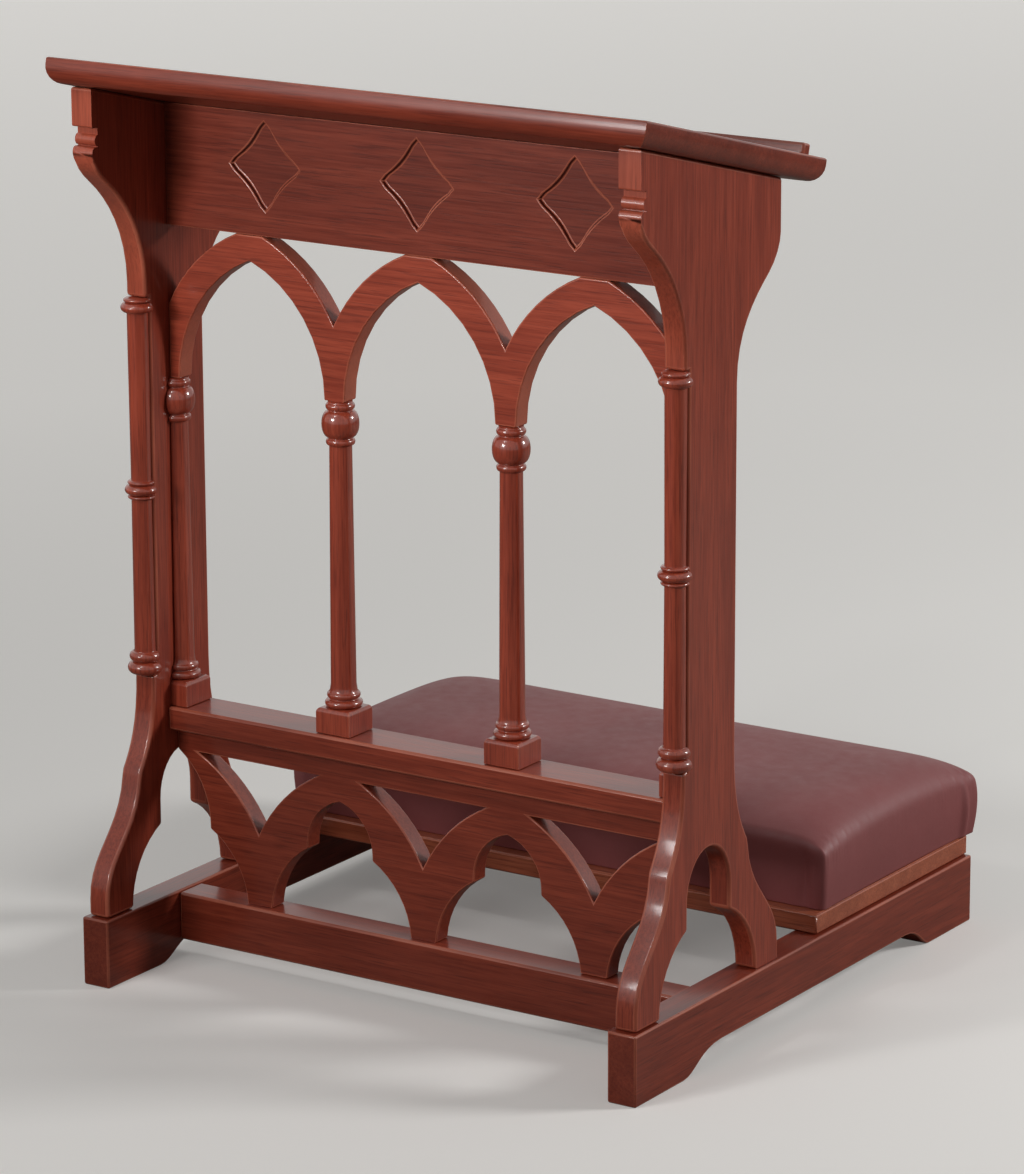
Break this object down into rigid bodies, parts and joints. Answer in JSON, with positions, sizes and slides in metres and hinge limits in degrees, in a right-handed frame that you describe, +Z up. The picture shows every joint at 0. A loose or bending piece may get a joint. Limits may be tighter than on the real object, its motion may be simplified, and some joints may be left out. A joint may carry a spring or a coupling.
{
  "type": "prayer kneeler",
  "caption": "Wooden prayer kneeler: sloped book desk on shaped standards with pierced Gothic arcades and turned posts, and a padded kneeling board on the same runners.",
  "frame": {"origin": "on the floor, midway between the runners and midway along them", "axes": "+Z up, +Y from the book desk towards the kneeling pad, +X across to the right of someone who looks at the desk's outer face"},
  "size_m": [0.62, 0.6184, 0.8571],
  "materials": {
    "stained_wood": "reddish-brown stain under satin-gloss lacquer",
    "board_wood": "lighter orange-brown stain, satin lacquer",
    "plywood": "raw plywood",
    "brown_vinyl": "brown leather-look vinyl over foam, soft sheen",
    "beech": "raw beech dowel",
    "screw_steel": "zinc-plated steel"
  },
  "bodies": {
    "root": {"board_screw_1": "screw_steel", "board_screw_2": "screw_steel", "board_screw_3": "screw_steel", "board_screw_4": "screw_steel", "board_screw_5": "screw_steel", "board_screw_6": "screw_steel", "book_ledge": "stained_wood", "bottom_stretcher": "stained_wood", "cleat_screw_1": "screw_steel", "cleat_screw_2": "screw_steel", "cleat_screw_3": "screw_steel", "cleat_screw_4": "screw_steel", "desk_screw_1": "screw_steel", "desk_screw_2": "screw_steel", "desk_screw_3": "screw_steel", "desk_screw_4": "screw_steel", "desk_top": "stained_wood", "frieze_panel": "stained_wood", "inner_left_colonette": "stained_wood", "inner_right_colonette": "stained_wood", "kneeler_board": "board_wood", "ledge_dowel_1": "beech", "ledge_dowel_2": "beech", "ledge_dowel_3": "beech", "left_desk_cleat": "board_wood", "left_front_column": "stained_wood", "left_half_colonette": "stained_wood", "left_runner": "stained_wood", "left_standard": "stained_wood", "lower_arcade": "stained_wood", "lower_arcade_dowel_1": "beech", "lower_arcade_dowel_2": "beech", "lower_arcade_dowel_3": "beech", "middle_rail": "stained_wood", "pad_base": "plywood", "pad_cushion": "brown_vinyl", "pad_screw_1": "screw_steel", "pad_screw_2": "screw_steel", "pad_screw_3": "screw_steel", "pad_screw_4": "screw_steel", "right_desk_cleat": "board_wood", "right_front_column": "stained_wood", "right_half_colonette": "stained_wood", "right_runner": "stained_wood", "right_standard": "stained_wood", "standard_dowel_1": "beech", "standard_dowel_2": "beech", "standard_dowel_3": "beech", "standard_dowel_4": "beech", "standard_dowel_5": "beech", "standard_dowel_6": "beech", "standard_dowel_7": "beech", "standard_dowel_8": "beech", "upper_arcade": "stained_wood", "upper_arcade_dowel_1": "beech", "upper_arcade_dowel_2": "beech"}
  },
  "joints": []
}
